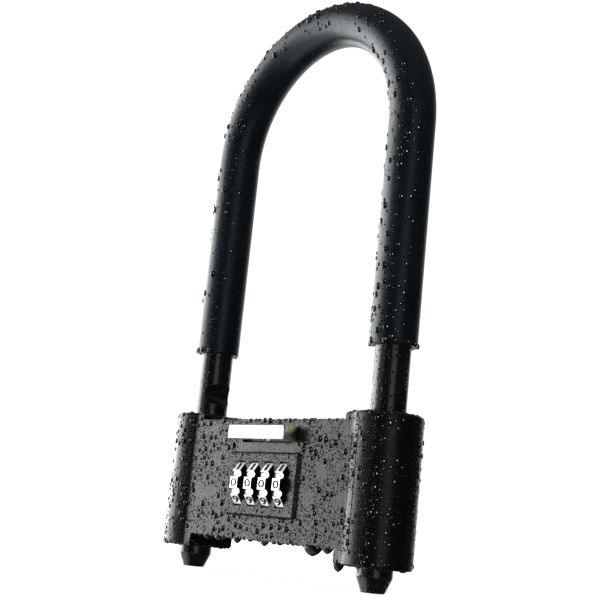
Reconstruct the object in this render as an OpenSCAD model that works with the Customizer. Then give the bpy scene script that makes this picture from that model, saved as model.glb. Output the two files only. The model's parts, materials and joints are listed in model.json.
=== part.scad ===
// Adjustable U lock: steel shackle in a soft sleeve, lock body on its two legs,
// four code dials, and a slide bar that throws two bolts into notches in the legs.
// The legs run right through the body, and their tapered tips stand on the ground.
//
// Frame: +X to the right, +Y to the back, +Z up. The origin is the middle of the
// footprint, on the ground plane. Rest is the unlocked state: code set, bar up,
// bolts drawn in. Sizes are in millimetres.

/* [Shackle] */
// Diameter of the bare steel leg
leg_d = 14; // [13.5:0.1:14.2]
// Distance between the axes of the two legs
leg_spacing = 108.5; // [108:0.5:110]
// Height at which the straight legs turn into the arc
arc_base_z = 179.7; // [150:0.1:230]
// Outer diameter of the soft sleeve
sleeve_d = 18.5; // [17:0.1:20]
// Height of the sleeve's lower end on the right leg
sleeve_end_z = 90.4; // [90.2:0.1:100]
// How much higher the sleeve ends on the left leg
sleeve_left_rise = 1.8; // [0:0.1:3]
// Diameter of the flat end of a leg's tip
tip_end_d = 9.6; // [8:0.1:11]
// Height of the tapered tip
tip_taper_h = 5.6; // [4:0.1:7]
// Distance between the notches along a leg
notch_pitch = 25; // [24:0.1:25]
// Radius of the round notch that takes the bolt's nose
notch_r = 4.4; // [4.2:0.1:4.6]

/* [Lock body] */
// Diameter of the round ends of the body
housing_d = 27; // [26.6:0.1:27.4]
// How far the round ends' axes lie outside the axes of the legs
housing_offset = 0.6; // [0.4:0.1:0.8]
// Depth of the flat part of the body, front to back
slab_d = 22.6; // [22.4:0.1:22.8]
// Height of the underside of the end housings
housing_bottom_z = 8.7; // [8:0.1:9]
// Height of the top of the end housings
housing_top_z = 64.8; // [64:0.1:65]
// Height of the underside of the case and the covers
case_bottom_z = 13.9; // [13.5:0.1:14]
// Height of the top of the case and the covers
case_top_z = 61.7; // [61.6:0.1:62]
// Distance between the inner walls of the two end housings
housing_gap = 87.8; // [87.6:0.1:88]
// Thickness of the front and rear covers
cover_t = 2; // [1.9:0.1:2]
// Width of the groove between a cover and an end housing
groove_w = 0.35; // [0.2:0.05:0.4]

/* [Dials] */
// Height of the dials' axis
dial_axis_z = 35.8; // [35.6:0.1:35.9]
// Distance between neighbouring dials
dial_pitch = 8.7; // [8.7:0.1:8.8]
// Width of a dial's rim
dial_w = 4.5; // [4.4:0.1:4.8]
// Distance from a dial's axis to its flat number pads
dial_r = 11.2; // [11:0.1:11.2]
// How far the dials stand in front of the front cover
dial_stand_out = 4.4; // [4.3:0.05:4.45]
// Width of the front face of the raised bezel around the dials
bezel_w = 40.8; // [40.6:0.1:44]
// Height of the bezel's front face
bezel_h = 24; // [23.8:0.1:24]
// How far the bezel stands in front of the cover
bezel_t = 1.3; // [1.2:0.1:1.6]
// How much further out the bezel's sloped sides reach at the cover
bezel_slope = 0.8; // [0.5:0.1:0.8]

/* [Slide bar] */
// Width of the slide bar
bar_w = 34.4; // [32:0.1:35]
// Height of the slide bar
bar_h = 5.8; // [5.6:0.1:5.8]
// Height of the slide bar's top edge
bar_top_z = 58.75; // [58.75:0.05:58.9]
// How far the slide bar stands in front of the cover
bar_d = 6.8; // [5:0.1:8]
// Travel of the slide bar, and of the bolts and spindle that it drives
travel = 4.2; // [4.1:0.05:4.2]

/* [Hidden] */
$fn = 96;

BLACK_PLASTIC = [0.09, 0.09, 0.10];
BLACK_RUBBER = [0.05, 0.05, 0.06];
BLACK_STEEL = [0.13, 0.13, 0.14];
CHROME = [0.86, 0.86, 0.88];
ZINC = [0.62, 0.63, 0.65];
STEEL = [0.72, 0.72, 0.74];
BRASS = [0.80, 0.66, 0.34];

// Gaps between fixed neighbours, between sliding parts and round a clear hole
fit_gap = 0.05;
run_gap = 0.1;
free_gap = 0.2;
// Extra length of a cutting tool past the surface that it opens
cut = 1;

leg_r = leg_d / 2;
leg_x = leg_spacing / 2;
sleeve_r = sleeve_d / 2;
housing_r = housing_d / 2;
post_x = leg_x + housing_offset;
slab_y = slab_d / 2;
inner_x = housing_gap / 2;
bar_front_y = -slab_y - bar_d;
// The legs stand behind the middle of the footprint, because the bar stands out in front
leg_y = (-bar_front_y - housing_r) / 2;

// Bolt height: the middle notch is at this height when the shackle is at rest
bolt_z = 49;
bolt_h = 7;
bolt_w = 9;
bolt_nose_x = leg_x - leg_r - travel + 0.4;
bolt_tail_x = 22;
bolt_pin_x = 25;
bolt_pin_end_y = 2;
pin_r = 1.25;
// Clearance round a pin that is pressed into its hole
press_gap = 0.01;
notch_heights = [for (k = [-1:1]) bolt_z + k * notch_pitch];

// The covers wrap round the body's bulges as far as this distance from the middle
wing_x = leg_x - 1.05;
wing_floor_y = 9.9;
cover_back_y = slab_y - cover_t;
case_y = cover_back_y - run_gap;
case_x = inner_x - run_gap;
case_cavity_x = 34.4;
case_floor_z = case_bottom_z + 2;
case_roof_z = case_top_z - 1.5;
case_back_y = 7.6;
// Pockets in the case's back wall, behind the fingers of the detent spring
relief_back_y = 8.2;
finger_root_z = 28;
finger_top_z = dial_axis_z + 6;
// Pedestal under the dial carrier
pedestal_x = 20;
pedestal_front_y = -6;

tube_r = 8.5;
tube_seat_r = tube_r + run_gap;
tube_bottom_z = 11.1;
tube_top_z = 61.4;
ring_lip_r = leg_r + 0.3;
wiper_r = 8.35;
wiper_floor_z = housing_top_z - 1.8;

case_screw_x = 38.2;
case_screw_heights = [19, 57.3];
case_screw_r = 1.2;
case_screw_head_r = 2.6;
case_screw_seat_y = 6.4;
cover_boss_r = 2.7;
cover_boss_end_y = -4.6;
rear_peg_x = 28;
rear_peg_heights = [19, 57];
rear_peg_r = 1.5;
housing_screw_heights = [26, 38];
housing_screw_r = 1.35;
housing_screw_head_r = 2.35;
housing_screw_end_x = 36;

dial_count = 4;
digit_count = 10;
digit_angle = 360 / digit_count;
dial_axis_y = -slab_y - dial_stand_out + dial_r;
// Half the angle that a number pad spans between its grooves
pad_half_angle = 11.75;
dial_sweep_r = dial_r / cos(pad_half_angle) + fit_gap;
dial_bore_r = 7.2;
first_dial_x = -(dial_count - 1) / 2 * dial_pitch;
code_ring_r = dial_bore_r - run_gap;
code_ring_w = dial_pitch - 0.3;
code_ring_bore_r = 5.3;
flange_w = 2;
fin_w = 1.6;
fin_h = 4.6;
fin_t = 1.9;
spindle_r = 2;
spindle_left_x = -29;
spindle_right_x = 22;
spindle_pin_x = -27;
spindle_pin_depth = 0.7;

ring_stack_x = dial_count * dial_pitch / 2;
window_w = dial_w + 0.6;
window_r = dial_r + 0.85;
skirt_w = 38.4;
skirt_h = 21.6;
bezel_peg_x = 17.5;
bezel_peg_heights = [dial_axis_z - 9.3, dial_axis_z + 9.3];
bezel_peg_r = 0.9;
bezel_peg_end_y = -6;

carrier_left_x = -19;
carrier_right_x = 19.8;
carrier_bottom_z = 22.4;
carrier_top_z = 46.9;
carrier_back_y = 7.1;
ear_x = 23;
ear_z = 25.4;
ear_front_y = 1;
ear_t = 2;
ear_half = 3;
carrier_screw_r = 1.15;
carrier_screw_head_r = 2.1;
end_plate_t = 1.5;
end_plate_screw_x = 16.5;
end_plate_screw_y = 4.4;
end_plate_screw_heights = [30.5, 43.2];
end_plate_screw_r = 0.8;
end_plate_screw_head_r = 1.5;

tongue_w = 30.4;
tongue_h = 1.8;
tongue_top_z = bar_top_z - free_gap;
tongue_back_y = -3.9;
bar_slot_top_z = tongue_top_z + run_gap;
bar_slot_bottom_z = tongue_top_z - tongue_h - travel - run_gap;
bar_pin_x = 9;
bar_pin_y = -5.55;
bar_pin_r = 0.9;
bar_pin_bottom_z = 54.8;

cam_front_y = -8.8;
cam_back_y = -6.8;
cam_top_z = case_roof_z - free_gap;
cam_bridge_z = 51.8;
// Inner sides and lower ends of the cam plate's two legs
cam_right_x = 21.8;
cam_right_z = 45;
cam_left_x = -19.6;
cam_left_z = 31.5;
cam_x = case_cavity_x - run_gap;
cam_slot_r = pin_r + fit_gap;

// ---- Helpers ----

function arc_points(centre, r, from, to, steps) =
    [for (i = [0:steps]) centre + r * [for (f = [90, 0]) sin(from + (to - from) * i / steps + f)]];

// Everything is drawn about the legs' plane, and moved to the footprint's middle here
module placed() { translate([0, leg_y, 0]) children(); }

module block(low, high) { translate(low) cube(high - low); }

module rod_x(y, z, x0, x1, r) { translate([x0, y, z]) rotate([0, 90, 0]) cylinder(r = r, h = x1 - x0); }

module rod_y(x, z, y0, y1, r) { translate([x, y0, z]) rotate([-90, 0, 0]) cylinder(r = r, h = y1 - y0); }

module rod_z(x, y, z0, z1, r) { translate([x, y, z0]) cylinder(r = r, h = z1 - z0); }

// Rectangle about the origin with its corners rounded
module rounded_rectangle(w, h, r) {
    x = w / 2 - r;
    y = h / 2 - r;
    steps = 6;
    polygon(concat(
        arc_points([x, y], r, 0, 90, steps), arc_points([-x, y], r, 90, 180, steps),
        arc_points([-x, -y], r, 180, 270, steps), arc_points([x, -y], r, 270, 360, steps)
    ));
}

module mirrored_for(side) { mirror([side < 0 ? 1 : 0, 0, 0]) children(); }

// ---- Shackle ----

module leg_tip() {
    edge = 0.8;
    rotate_extrude() polygon(concat(
        [[0, 0]],
        arc_points([tip_end_d / 2 - edge, edge], edge, -90, -15, 5),
        [[leg_r, tip_taper_h], [leg_r, tip_taper_h + cut], [0, tip_taper_h + cut]]
    ));
}

// U of round section; the bottoms are the heights of the left and right ends
module u_sweep(r, bottoms) {
    for (i = [0, 1]) rod_z((2 * i - 1) * leg_x, 0, bottoms[i], arc_base_z, r);
    translate([0, 0, arc_base_z]) rotate([90, 0, 0])
        rotate_extrude(angle = 180) translate([leg_x, 0]) circle(r = r);
}

module shackle() {
    color(BLACK_STEEL) placed() difference() {
        union() {
            u_sweep(leg_r, [tip_taper_h, tip_taper_h]);
            for (side = [-1, 1]) translate([side * leg_x, 0, 0]) leg_tip();
        }
        for (side = [-1, 1], z = notch_heights)
            rod_y(side * (leg_x - leg_r), z, -leg_d, leg_d, notch_r);
    }
}

module shackle_sleeve() {
    ends = [sleeve_end_z + sleeve_left_rise, sleeve_end_z];
    color(BLACK_RUBBER) placed() difference() {
        u_sweep(sleeve_r, ends);
        u_sweep(leg_r + fit_gap, [for (z = ends) z - cut]);
    }
}

// ---- End housings and what they hold ----

// Body of one end housing, without its recesses: a round post with a flat inner wall
module housing_body() {
    top_r = 1.8;
    bottom_r = 1.2;
    height = housing_top_z - housing_bottom_z;
    width = post_x - inner_x;
    steps = 5;
    intersection() {
        union() {
            translate([post_x, 0, housing_bottom_z]) rotate_extrude() polygon(concat(
                [[0, 0]], arc_points([housing_r - bottom_r, bottom_r], bottom_r, -90, 0, steps),
                arc_points([housing_r - top_r, height - top_r], top_r, 0, 90, steps), [[0, height]]
            ));
            // Side view of the flat part, run along X
            translate([inner_x, 0, housing_bottom_z]) rotate([90, 0, 90]) linear_extrude(width)
                polygon(concat(
                    arc_points([slab_y - bottom_r, bottom_r], bottom_r, -90, 0, steps),
                    arc_points([slab_y - top_r, height - top_r], top_r, 0, 90, steps),
                    arc_points([top_r - slab_y, height - top_r], top_r, 90, 180, steps),
                    arc_points([bottom_r - slab_y, bottom_r], bottom_r, 180, 270, steps)
                ));
        }
        // Front view, run along Y: the inner wall with its rounded top and bottom edges
        translate([inner_x, housing_d, housing_bottom_z]) rotate([90, 0, 0]) linear_extrude(2 * housing_d)
            polygon(concat(
                [[width + housing_d, 0], [width + housing_d, height]],
                arc_points([top_r, height - top_r], top_r, 90, 180, steps),
                arc_points([bottom_r, bottom_r], bottom_r, 180, 270, steps)
            ));
    }
}

module end_housing(side) {
    color(BLACK_PLASTIC) placed() mirrored_for(side) difference() {
        housing_body();
        rod_z(leg_x, 0, housing_bottom_z - cut, tube_top_z + run_gap, tube_seat_r);
        rod_z(leg_x, 0, housing_bottom_z, housing_top_z + cut, ring_lip_r);
        rod_z(leg_x, 0, wiper_floor_z, housing_top_z + cut, wiper_r + fit_gap);
        // Recesses for the wings of the two covers
        for (turn = [0, 1]) mirror([0, turn, 0])
            block([inner_x - cut, -housing_r - cut, case_bottom_z - run_gap],
                  [wing_x + groove_w, -wing_floor_y + run_gap, case_top_z + run_gap]);
        bolt_window();
        for (z = housing_screw_heights) rod_x(0, z, inner_x - cut, leg_x, housing_screw_r + run_gap);
    }
}

// Opening for the bolt, from the inner wall into the bore round the leg
module bolt_window() {
    block([inner_x - cut, -bolt_w / 2 - free_gap, bolt_z - bolt_h / 2 - free_gap],
          [leg_x, bolt_w / 2 + free_gap, bolt_z + bolt_h / 2 + free_gap]);
}

// Hardened tube that guides the leg and backs the bolt
module leg_tube(side) {
    color(STEEL) placed() mirrored_for(side) difference() {
        rod_z(leg_x, 0, tube_bottom_z, tube_top_z, tube_r);
        rod_z(leg_x, 0, tube_bottom_z - cut, tube_top_z + cut, leg_r + run_gap);
        bolt_window();
        for (z = housing_screw_heights) {
            rod_x(0, z, leg_x - tube_r - cut, leg_x, housing_screw_r + run_gap);
            screw_countersink(z, run_gap);
        }
    }
}

module base_ring(side) {
    color(BLACK_PLASTIC) placed() mirrored_for(side) difference() {
        rod_z(leg_x, 0, housing_bottom_z + fit_gap, tube_bottom_z - fit_gap, tube_seat_r - fit_gap);
        rod_z(leg_x, 0, housing_bottom_z - cut, tube_bottom_z + cut, ring_lip_r);
    }
}

module wiper(side) {
    color(BLACK_RUBBER) placed() mirrored_for(side) difference() {
        rod_z(leg_x, 0, wiper_floor_z + fit_gap, housing_top_z - free_gap, wiper_r);
        rod_z(leg_x, 0, wiper_floor_z - cut, housing_top_z + cut, leg_r + run_gap);
    }
}

// Head of a housing screw, or with a gap the cone that it sits in
module screw_countersink(z, gap = 0) {
    head_h = 1;
    translate([leg_x - tube_r + 0.25 - gap, 0, z]) rotate([0, 90, 0])
        cylinder(r1 = housing_screw_r + gap, r2 = housing_screw_head_r + 4 * gap, h = head_h + 3 * gap);
}

// Countersunk screws, driven from inside the leg tubes before the shackle goes in
module housing_screws() {
    color(STEEL) placed() for (side = [-1, 1], z = housing_screw_heights) mirrored_for(side) {
        rod_x(0, z, housing_screw_end_x, leg_x - tube_r + 0.3, housing_screw_r);
        screw_countersink(z);
    }
}

// ---- Case and covers ----

module cover_plan() {
    intersection() {
        union() {
            translate([-post_x, -slab_y]) square([2 * post_x, slab_y]);
            for (side = [-1, 1]) translate([side * post_x, 0]) circle(r = housing_r);
        }
        union() {
            translate([-case_x, -housing_r - cut]) square([2 * case_x, housing_r + cut - cover_back_y]);
            translate([-wing_x, -housing_r - cut]) square([2 * wing_x, housing_r + cut - wing_floor_y]);
        }
    }
}

module cover_shell() {
    translate([0, 0, case_bottom_z]) linear_extrude(case_top_z - case_bottom_z) cover_plan();
}

module front_cover() {
    color(BLACK_PLASTIC) placed() difference() {
        union() {
            cover_shell();
            for (side = [-1, 1], z = case_screw_heights)
                rod_y(side * case_screw_x, z, -cover_back_y - cut / 2, cover_boss_end_y, cover_boss_r);
        }
        block([-skirt_w / 2 - run_gap, -slab_y - cut, dial_axis_z - skirt_h / 2 - run_gap],
              [skirt_w / 2 + run_gap, 0, dial_axis_z + skirt_h / 2 + run_gap]);
        block([-tongue_w / 2 - free_gap, -slab_y - cut, bar_slot_bottom_z],
              [tongue_w / 2 + free_gap, 0, bar_slot_top_z]);
        for (side = [-1, 1], z = case_screw_heights)
            rod_y(side * case_screw_x, z, -cover_back_y, 0, case_screw_r + fit_gap);
    }
}

module rear_cover() {
    color(BLACK_PLASTIC) placed() {
        mirror([0, 1, 0]) cover_shell();
        for (side = [-1, 1], z = rear_peg_heights)
            rod_y(side * rear_peg_x, z, case_back_y + run_gap, cover_back_y + cut / 2, rear_peg_r);
    }
}

module lock_case() {
    color(ZINC) placed() difference() {
        block([-case_x, -case_y, case_bottom_z], [case_x, case_y, case_top_z]);
        difference() {
            block([-case_cavity_x, -case_y - cut, case_floor_z], [case_cavity_x, case_back_y, case_roof_z]);
            block([-pedestal_x, pedestal_front_y, case_floor_z - cut],
                  [pedestal_x, case_back_y + cut, carrier_bottom_z - run_gap]);
            // Posts that the ears of the dial carrier screw to
            for (side = [-1, 1])
                block([side * ear_x - ear_half, ear_front_y + ear_t + fit_gap, case_floor_z - cut],
                      [side * ear_x + ear_half, case_back_y + cut, ear_z + ear_half]);
        }
        // Room for the fingers of the detent spring to bend back
        block([-ring_stack_x, case_back_y - cut, finger_root_z],
              [ring_stack_x, relief_back_y, finger_top_z + cut]);
        for (side = [-1, 1]) mirrored_for(side) {
            // Channel that guides the bolt
            block([case_cavity_x - cut, -bolt_w / 2 - run_gap, bolt_z - bolt_h / 2 - run_gap],
                  [inner_x, bolt_w / 2 + run_gap, bolt_z + bolt_h / 2 + run_gap]);
            for (z = case_screw_heights) {
                rod_y(case_screw_x, z, -case_y - cut, cover_boss_end_y + run_gap, cover_boss_r + free_gap);
                rod_y(case_screw_x, z, cover_boss_end_y - cut, case_y, case_screw_r + free_gap);
                rod_y(case_screw_x, z, case_screw_seat_y, case_y + cut, case_screw_head_r + free_gap);
            }
            for (z = housing_screw_heights)
                rod_x(0, z, housing_screw_end_x - cut / 2, inner_x, housing_screw_r + fit_gap);
            rod_y(ear_x, ear_z, 0, case_y + cut, carrier_screw_r + fit_gap);
            for (z = rear_peg_heights)
                rod_y(rear_peg_x, z, case_back_y - cut, case_y + cut, rear_peg_r + fit_gap);
        }
    }
}

// Long screws from the back of the case into the front cover; the rear cover hides their heads
module case_screws() {
    head_y = case_screw_seat_y + run_gap;
    head_h = 2.2;
    key_r = 1.2;
    color(STEEL) placed() for (side = [-1, 1], z = case_screw_heights) {
        rod_y(side * case_screw_x, z, -cover_back_y + 0.4, head_y + run_gap, case_screw_r);
        difference() {
            rod_y(side * case_screw_x, z, head_y, head_y + head_h, case_screw_head_r);
            rod_y(side * case_screw_x, z, head_y + cut, head_y + head_h + cut, key_r, $fn = 6);
        }
    }
}

// ---- Dials and code mechanism ----

// Raised plate with sloped sides: the common part of its front, top and side views
module bezel_plate() {
    back_y = -slab_y - 0.02;
    front_y = -slab_y - bezel_t;
    half_w = bezel_w / 2;
    half_h = bezel_h / 2;
    corner_r = 2;
    intersection() {
        translate([0, back_y, dial_axis_z]) rotate([90, 0, 0]) linear_extrude(bezel_t)
            rounded_rectangle(bezel_w + 2 * bezel_slope, bezel_h + 2 * bezel_slope, corner_r);
        translate([0, 0, dial_axis_z - bezel_h]) linear_extrude(2 * bezel_h) polygon([
            [-half_w, front_y], [half_w, front_y],
            [half_w + bezel_slope, back_y], [-half_w - bezel_slope, back_y]
        ]);
        translate([-bezel_w, 0, dial_axis_z]) rotate([90, 0, 90]) linear_extrude(2 * bezel_w) polygon([
            [front_y, -half_h], [back_y, -half_h - bezel_slope],
            [back_y, half_h + bezel_slope], [front_y, half_h]
        ]);
    }
}

module dial_bezel() {
    color(BLACK_PLASTIC) placed() {
        difference() {
            union() {
                bezel_plate();
                block([-skirt_w / 2, -slab_y - cut / 2, dial_axis_z - skirt_h / 2],
                      [skirt_w / 2, -cover_back_y - run_gap, dial_axis_z + skirt_h / 2]);
            }
            for (i = [0:dial_count - 1])
                rod_x(dial_axis_y, dial_axis_z, dial_x(i) - window_w / 2, dial_x(i) + window_w / 2, window_r);
            // Room for the code rings behind the bars between the windows
            rod_x(dial_axis_y, dial_axis_z, -ring_stack_x - run_gap, ring_stack_x + run_gap,
                  code_ring_r + free_gap);
        }
        for (side = [-1, 1], z = bezel_peg_heights)
            rod_y(side * bezel_peg_x, z, -cover_back_y - cut, bezel_peg_end_y, bezel_peg_r);
    }
}

function dial_x(i) = first_dial_x + i * dial_pitch;

module dial(i) {
    groove_r = 1.25;
    groove_centre_r = dial_r + 0.15;
    corner_r = dial_r / cos(digit_angle / 2);
    tooth_w = 0.7;
    tooth_h = 0.4;
    tooth_half = dial_w / 2 - tooth_h;
    color(CHROME) placed() translate([dial_x(i), dial_axis_y, dial_axis_z]) rotate([0, 90, 0]) {
        difference() {
            // Ten flat number pads; the first one faces straight out of the front
            rotate([0, 0, 90 + digit_angle / 2]) translate([0, 0, -dial_w / 2])
                cylinder(r = corner_r, h = dial_w, $fn = digit_count);
            for (k = [0:digit_count - 1]) rotate([0, 0, 90 + (k + 0.5) * digit_angle])
                translate([groove_centre_r, 0, -dial_w]) cylinder(r = groove_r, h = 2 * dial_w, $fn = 32);
            cylinder(r = dial_bore_r, h = 2 * dial_w, center = true);
        }
        // Teeth that key the dial to its code ring
        for (k = [0:digit_count - 1]) rotate([0, 0, k * digit_angle])
            block([dial_bore_r - tooth_h, -tooth_w / 2, -tooth_half],
                  [dial_bore_r + tooth_h, tooth_w / 2, tooth_half]);
    }
}

module code_ring(i) {
    slot_w = 2.2;
    slot_h = 4.9;
    groove_r = 0.6;
    half = code_ring_w / 2;
    color(BRASS) placed() translate([dial_x(i), dial_axis_y, dial_axis_z]) difference() {
        rod_x(0, 0, -half, half, code_ring_r);
        rod_x(0, 0, -half - cut, half - flange_w, code_ring_bore_r);
        rod_x(0, 0, -half, half + cut, spindle_r + free_gap);
        // Slot in the flange that lets the spindle's fin through at the code
        block([0, -slot_w / 2, 0], [half + cut, slot_w / 2, slot_h]);
        for (k = [0:digit_count - 1]) rotate([k * digit_angle, 0, 0])
            rod_x(0, dial_bore_r, -half - cut, dial_w / 2 + free_gap, groove_r);
    }
}

module spindle() {
    fin_end = code_ring_w / 2 - flange_w - free_gap;
    color(STEEL) placed() translate([0, dial_axis_y, dial_axis_z]) difference() {
        union() {
            rod_x(0, 0, spindle_left_x, spindle_right_x, spindle_r);
            for (i = [0:dial_count - 1])
                block([dial_x(i) + fin_end - fin_w, -fin_t / 2, 0], [dial_x(i) + fin_end, fin_t / 2, fin_h]);
        }
        rod_y(spindle_pin_x, 0, -leg_d, spindle_pin_depth + fit_gap, pin_r + press_gap);
    }
}

module spindle_pin() {
    color(STEEL) placed()
        rod_y(spindle_pin_x, dial_axis_z, cam_front_y - free_gap, dial_axis_y + spindle_pin_depth, pin_r);
}

// Open frame that holds the dials side by side and lets the code rings turn
module dial_carrier() {
    pocket_half = dial_w / 2 + free_gap;
    opening_half = 9;
    finger_window_half = 2.3;
    finger_window_h = 8;
    finger_window_y = 5;
    color(BLACK_PLASTIC) placed() difference() {
        union() {
            block([carrier_left_x, -case_y, carrier_bottom_z],
                  [carrier_right_x, carrier_back_y, carrier_top_z]);
            for (side = [-1, 1]) mirrored_for(side)
                block([-carrier_left_x - cut, ear_front_y, carrier_bottom_z],
                      [ear_x + ear_half, ear_front_y + ear_t, ear_z + ear_half]);
        }
        for (x = [for (i = [0:dial_count - 1]) dial_x(i)]) {
            rod_x(dial_axis_y, dial_axis_z, x - pocket_half, x + pocket_half, dial_sweep_r + free_gap);
            block([x - finger_window_half, finger_window_y, dial_axis_z],
                  [x + finger_window_half, carrier_back_y + cut, dial_axis_z + finger_window_h]);
            block([x - pocket_half, -case_y - cut, dial_axis_z - opening_half],
                  [x + pocket_half, dial_axis_y, dial_axis_z + opening_half]);
        }
        rod_x(dial_axis_y, dial_axis_z, -ring_stack_x, carrier_right_x + cut, dial_bore_r);
        rod_x(dial_axis_y, dial_axis_z, carrier_left_x - cut, 0, spindle_r + run_gap);
        for (side = [-1, 1], z = bezel_peg_heights)
            rod_y(side * bezel_peg_x, z, -case_y - cut, bezel_peg_end_y + cut / 2, bezel_peg_r + fit_gap);
        for (side = [-1, 1])
            rod_y(side * ear_x, ear_z, ear_front_y - cut, ear_front_y + ear_t + cut,
                  carrier_screw_r + run_gap);
        for (z = end_plate_screw_heights)
            rod_x(end_plate_screw_y, z, end_plate_screw_x - cut / 2, carrier_right_x + cut,
                  end_plate_screw_r + fit_gap);
    }
}

// Closes the open end of the carrier and carries the right end of the spindle
module carrier_end_plate() {
    x0 = carrier_right_x + fit_gap;
    x1 = x0 + end_plate_t;
    bottom_z = ear_z + ear_half + free_gap;
    color(STEEL) placed() difference() {
        block([x0, -case_y + free_gap, bottom_z], [x1, carrier_back_y - free_gap, carrier_top_z - free_gap]);
        rod_x(dial_axis_y, dial_axis_z, x0 - cut, x1 + cut, spindle_r + run_gap);
        for (z = end_plate_screw_heights)
            rod_x(end_plate_screw_y, z, x0 - cut, x1 + cut, end_plate_screw_r + run_gap);
    }
}

module end_plate_screws() {
    head_x = carrier_right_x + end_plate_t + run_gap;
    head_h = 0.8;
    color(STEEL) placed() for (z = end_plate_screw_heights) {
        rod_x(end_plate_screw_y, z, end_plate_screw_x, head_x + run_gap, end_plate_screw_r);
        rod_x(end_plate_screw_y, z, head_x, head_x + head_h, end_plate_screw_head_r);
    }
}

module carrier_screws() {
    head_y = ear_front_y - 0.02;
    head_h = 1.5;
    end_y = 8.5;
    color(STEEL) placed() for (side = [-1, 1]) {
        rod_y(side * ear_x, ear_z, head_y - run_gap, end_y, carrier_screw_r);
        rod_y(side * ear_x, ear_z, head_y - head_h, head_y, carrier_screw_head_r);
    }
}

// Leaf spring behind the dials: one finger for each, with a rib that clicks into the grooves
module detent_spring() {
    front_y = carrier_back_y + fit_gap;
    back_y = front_y + 0.3;
    base_x = 17;
    base_z = 24;
    finger_half = 2;
    rib_r = 0.55;
    rib_rise = 3.5;
    rib_y = dial_axis_y + sqrt(pow(dial_sweep_r + fit_gap + rib_r, 2) - pow(rib_rise, 2));
    color(STEEL) placed() {
        block([-base_x, front_y, base_z], [base_x, back_y, finger_root_z + cut / 2]);
        for (x = [for (i = [0:dial_count - 1]) dial_x(i)]) {
            block([x - finger_half, front_y, finger_root_z], [x + finger_half, back_y, finger_top_z]);
            rod_x(rib_y, dial_axis_z + rib_rise, x - finger_half, x + finger_half, rib_r);
        }
    }
}

// ---- Slide bar, cam plate and bolts ----

module slide_bar() {
    color(CHROME) placed() difference() {
        union() {
            block([-bar_w / 2, bar_front_y, bar_top_z - bar_h], [bar_w / 2, -slab_y - free_gap, bar_top_z]);
            block([-tongue_w / 2, -slab_y - cut, tongue_top_z - tongue_h],
                  [tongue_w / 2, tongue_back_y, tongue_top_z]);
        }
        for (side = [-1, 1])
            rod_z(side * bar_pin_x, bar_pin_y, bar_slot_bottom_z, case_top_z, bar_pin_r + press_gap);
    }
}

// Slot that drives a pin sideways by as much as the plate moves down
module cam_slot(x, z, side) {
    for (p = [0, travel])
        rod_y(x + side * p, z + p, cam_front_y - cut, cam_back_y + cut, cam_slot_r);
    translate([x, 0, z]) rotate([0, side > 0 ? -45 : -135, 0])
        block([0, cam_front_y - cut, -cam_slot_r], [travel * sqrt(2), cam_back_y + cut, cam_slot_r]);
}

module cam_plate() {
    color(BLACK_STEEL) placed() difference() {
        union() {
            block([-cam_x, cam_front_y, cam_bridge_z], [cam_x, cam_back_y, cam_top_z]);
            block([cam_right_x, cam_front_y, cam_right_z], [cam_x, cam_back_y, cam_bridge_z + cut]);
            block([-cam_x, cam_front_y, cam_left_z], [cam_left_x, cam_back_y, cam_bridge_z + cut]);
        }
        block([-tongue_w / 2 - fit_gap, cam_front_y - cut, tongue_top_z - tongue_h - fit_gap],
              [tongue_w / 2 + fit_gap, cam_back_y + cut, tongue_top_z + fit_gap]);
        for (side = [-1, 1]) cam_slot(side * bolt_pin_x, bolt_z, side);
        cam_slot(spindle_pin_x, dial_axis_z, 1);
    }
}

module bar_pins() {
    color(STEEL) placed() for (side = [-1, 1])
        rod_z(side * bar_pin_x, bar_pin_y, bar_pin_bottom_z, cam_top_z - run_gap, bar_pin_r);
}

module bolt(side) {
    color(STEEL) placed() mirrored_for(side) difference() {
        union() {
            block([bolt_tail_x, -bolt_w / 2, bolt_z - bolt_h / 2],
                  [bolt_nose_x, bolt_w / 2, bolt_z + bolt_h / 2]);
            rod_y(bolt_nose_x, bolt_z, -bolt_w / 2, bolt_w / 2, bolt_h / 2);
        }
        rod_y(bolt_pin_x, bolt_z, -bolt_w, bolt_pin_end_y + run_gap, pin_r + press_gap);
    }
}

module bolt_pin(side) {
    color(STEEL) placed() rod_y(side * bolt_pin_x, bolt_z, cam_front_y - free_gap, bolt_pin_end_y, pin_r);
}

shackle();
shackle_sleeve();
end_housing(-1);  // left_end_housing
end_housing(1);  // right_end_housing
leg_tube(-1);  // left_leg_tube
leg_tube(1);  // right_leg_tube
base_ring(-1);  // left_base_ring
base_ring(1);  // right_base_ring
wiper(-1);  // left_wiper
wiper(1);  // right_wiper
lock_case();
front_cover();
rear_cover();
case_screws();
housing_screws();
dial_bezel();
dial_carrier();
carrier_end_plate();
end_plate_screws();
carrier_screws();
detent_spring();
dial(0);  // dial_1
dial(1);  // dial_2
dial(2);  // dial_3
dial(3);  // dial_4
code_ring(0);  // code_ring_1
code_ring(1);  // code_ring_2
code_ring(2);  // code_ring_3
code_ring(3);  // code_ring_4
spindle();
spindle_pin();
slide_bar();
cam_plate();
bar_pins();
bolt(-1);  // left_bolt
bolt(1);  // right_bolt
bolt_pin(-1);  // left_bolt_pin
bolt_pin(1);  // right_bolt_pin
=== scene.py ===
import json
import math

import bmesh
import bpy
import numpy as np
from mathutils import Matrix, Vector
from mathutils.noise import noise as wander_at
from mathutils.bvhtree import BVHTree

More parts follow.
